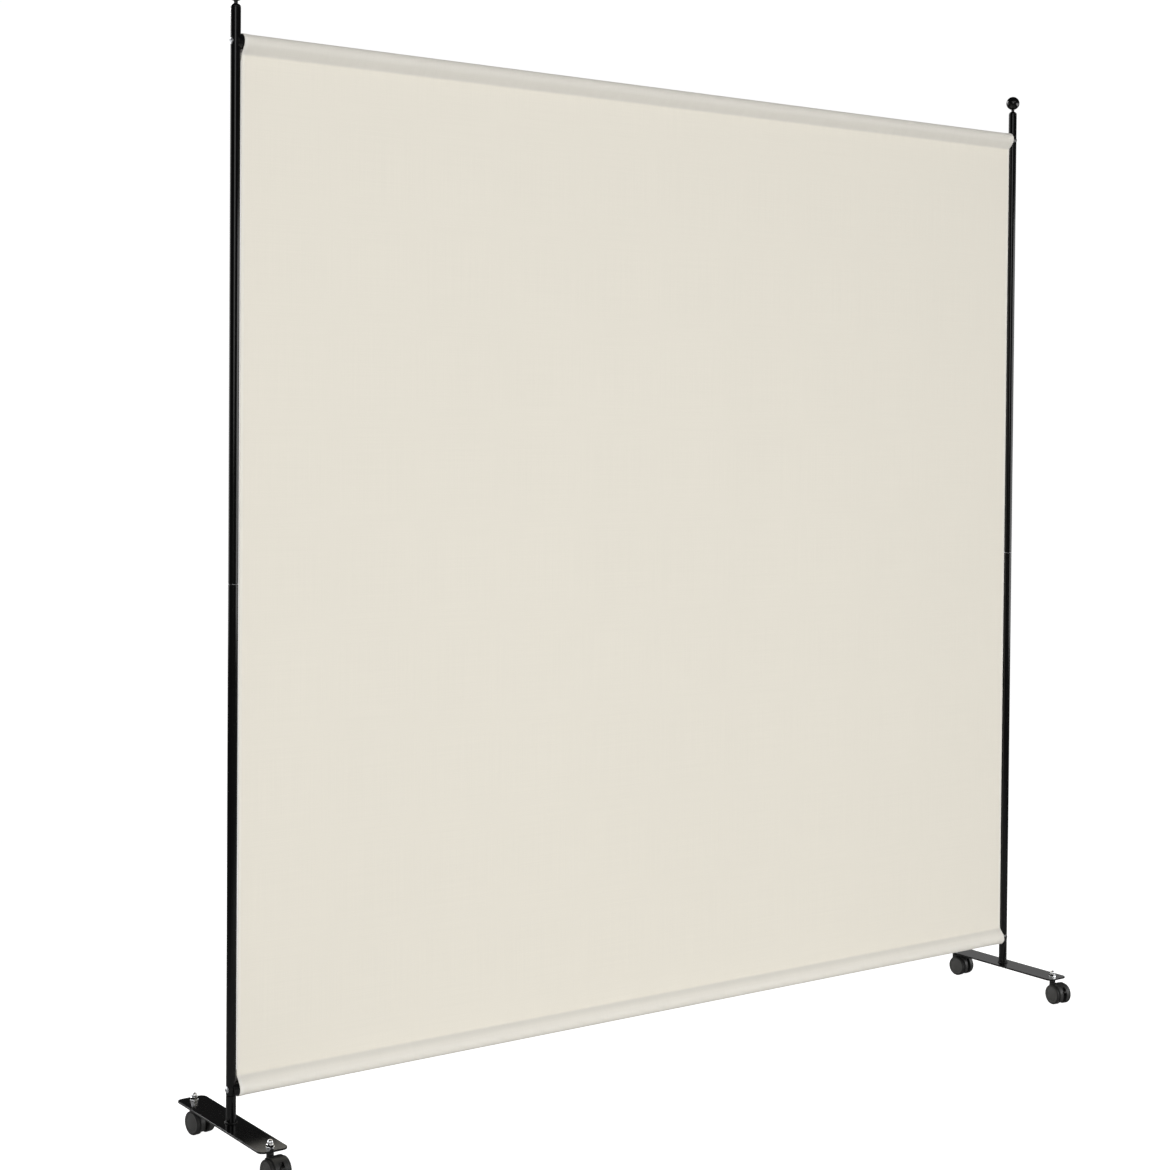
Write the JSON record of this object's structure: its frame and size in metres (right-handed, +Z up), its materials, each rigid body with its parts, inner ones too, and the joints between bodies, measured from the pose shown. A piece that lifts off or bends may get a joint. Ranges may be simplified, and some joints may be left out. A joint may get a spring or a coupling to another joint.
{
  "type": "rolling room divider",
  "caption": "Free-standing fabric screen stretched between two rails on round posts with ball finials, standing on flat base plates with swivel casters.",
  "frame": {"origin": "on the floor, midway between the two posts", "axes": "+X along the panel from the left post to the right post, +Y to the back, +Z up"},
  "size_m": [1.8, 0.3254, 1.835],
  "materials": {
    "black_steel": "gloss black powder coat",
    "black_plastic": "gloss black moulded plastic",
    "caster_plastic": "dark grey moulded plastic",
    "wheel_tread": "dark moulded nylon",
    "wheel_cover": "satin dark grey moulded plastic",
    "zinc_steel": "bright zinc plate",
    "bright_plating": "bright chrome",
    "cloth": "beige plain-woven polyester"
  },
  "bodies": {
    "frame": {"back_left_caster_stem": "zinc_steel", "back_right_caster_stem": "zinc_steel", "bottom_left_saddle": "black_plastic", "bottom_rail_left": "black_steel", "bottom_rail_right": "black_steel", "bottom_right_saddle": "black_plastic", "cap_nuts": "bright_plating", "cloth_panel": "cloth", "front_left_caster_stem": "zinc_steel", "front_right_caster_stem": "zinc_steel", "left_base_plate": "black_steel", "left_base_socket": "black_steel", "left_finial": "black_plastic", "left_lower_post": "black_steel", "left_upper_post": "black_steel", "rail_bolts": "zinc_steel", "rail_inserts": "zinc_steel", "right_base_plate": "black_steel", "right_base_socket": "black_steel", "right_finial": "black_plastic", "right_lower_post": "black_steel", "right_upper_post": "black_steel", "top_left_saddle": "black_plastic", "top_rail_left": "black_steel", "top_rail_right": "black_steel", "top_right_saddle": "black_plastic", "washers": "bright_plating"},
    "front_left_caster_swivel": {"front_left_caster_hood": "caster_plastic", "front_left_caster_axle": "zinc_steel", "front_left_brake_pin": "zinc_steel"},
    "front_left_caster_wheel_left": {"front_left_left_wheel": "wheel_tread", "front_left_left_wheel_cover": "wheel_cover"},
    "front_left_caster_wheel_right": {"front_left_right_wheel": "wheel_tread", "front_left_right_wheel_cover": "wheel_cover"},
    "front_left_caster_brake": {"front_left_brake_lever": "caster_plastic"},
    "front_right_caster_swivel": {"front_right_caster_hood": "caster_plastic", "front_right_caster_axle": "zinc_steel", "front_right_brake_pin": "zinc_steel"},
    "front_right_caster_wheel_left": {"front_right_left_wheel": "wheel_tread", "front_right_left_wheel_cover": "wheel_cover"},
    "front_right_caster_wheel_right": {"front_right_right_wheel": "wheel_tread", "front_right_right_wheel_cover": "wheel_cover"},
    "front_right_caster_brake": {"front_right_brake_lever": "caster_plastic"},
    "back_left_caster_swivel": {"back_left_caster_hood": "caster_plastic", "back_left_caster_axle": "zinc_steel"},
    "back_left_caster_wheel_left": {"back_left_left_wheel": "wheel_tread", "back_left_left_wheel_cover": "wheel_cover"},
    "back_left_caster_wheel_right": {"back_left_right_wheel": "wheel_tread", "back_left_right_wheel_cover": "wheel_cover"},
    "back_right_caster_swivel": {"back_right_caster_hood": "caster_plastic", "back_right_caster_axle": "zinc_steel"},
    "back_right_caster_wheel_left": {"back_right_left_wheel": "wheel_tread", "back_right_left_wheel_cover": "wheel_cover"},
    "back_right_caster_wheel_right": {"back_right_right_wheel": "wheel_tread", "back_right_right_wheel_cover": "wheel_cover"}
  },
  "joints": [
    {"name": "front_left_swivel", "type": "hinge", "parent": "frame", "child": "front_left_caster_swivel", "pos_m": [-0.875, -0.1345, 0.044], "axis": [0, 0, 1], "continuous": true},
    {"name": "front_left_left_wheel_roll", "type": "hinge", "parent": "front_left_caster_swivel", "child": "front_left_caster_wheel_left", "pos_m": [-0.87381, -0.15146, 0.0192], "axis": [0.9976, 0.0698, 0], "continuous": true},
    {"name": "front_left_right_wheel_roll", "type": "hinge", "parent": "front_left_caster_swivel", "child": "front_left_caster_wheel_right", "pos_m": [-0.87381, -0.15146, 0.0192], "axis": [0.9976, 0.0698, 0], "continuous": true},
    {"name": "front_left_brake", "type": "hinge", "parent": "front_left_caster_swivel", "child": "front_left_caster_brake", "pos_m": [-0.87317, -0.16066, 0.0264], "axis": [0.9976, 0.0698, 0], "range_deg": [0, 18]},
    {"name": "front_right_swivel", "type": "hinge", "parent": "frame", "child": "front_right_caster_swivel", "pos_m": [0.875, -0.1345, 0.044], "axis": [0, 0, 1], "continuous": true},
    {"name": "front_right_left_wheel_roll", "type": "hinge", "parent": "front_right_caster_swivel", "child": "front_right_caster_wheel_left", "pos_m": [0.87293, -0.15137, 0.0192], "axis": [0.9925, -0.1219, 0], "continuous": true},
    {"name": "front_right_right_wheel_roll", "type": "hinge", "parent": "front_right_caster_swivel", "child": "front_right_caster_wheel_right", "pos_m": [0.87293, -0.15137, 0.0192], "axis": [0.9925, -0.1219, 0], "continuous": true},
    {"name": "front_right_brake", "type": "hinge", "parent": "front_right_caster_swivel", "child": "front_right_caster_brake", "pos_m": [0.87181, -0.16052, 0.0264], "axis": [0.9925, -0.1219, 0], "range_deg": [0, 18]},
    {"name": "back_left_swivel", "type": "hinge", "parent": "frame", "child": "back_left_caster_swivel", "pos_m": [-0.875, 0.1345, 0.044], "axis": [0, 0, 1], "continuous": true},
    {"name": "back_left_left_wheel_roll", "type": "hinge", "parent": "back_left_caster_swivel", "child": "back_left_caster_wheel_left", "pos_m": [-0.87234, 0.11771, 0.0192], "axis": [0.9877, 0.1564, 0], "continuous": true},
    {"name": "back_left_right_wheel_roll", "type": "hinge", "parent": "back_left_caster_swivel", "child": "back_left_caster_wheel_right", "pos_m": [-0.87234, 0.11771, 0.0192], "axis": [0.9877, 0.1564, 0], "continuous": true},
    {"name": "back_right_swivel", "type": "hinge", "parent": "frame", "child": "back_right_caster_swivel", "pos_m": [0.875, 0.1345, 0.044], "axis": [0, 0, 1], "continuous": true},
    {"name": "back_right_left_wheel_roll", "type": "hinge", "parent": "back_right_caster_swivel", "child": "back_right_caster_wheel_left", "pos_m": [0.87619, 0.11754, 0.0192], "axis": [0.9976, 0.0698, 0], "continuous": true},
    {"name": "back_right_right_wheel_roll", "type": "hinge", "parent": "back_right_caster_swivel", "child": "back_right_caster_wheel_right", "pos_m": [0.87619, 0.11754, 0.0192], "axis": [0.9976, 0.0698, 0], "continuous": true}
  ]
}
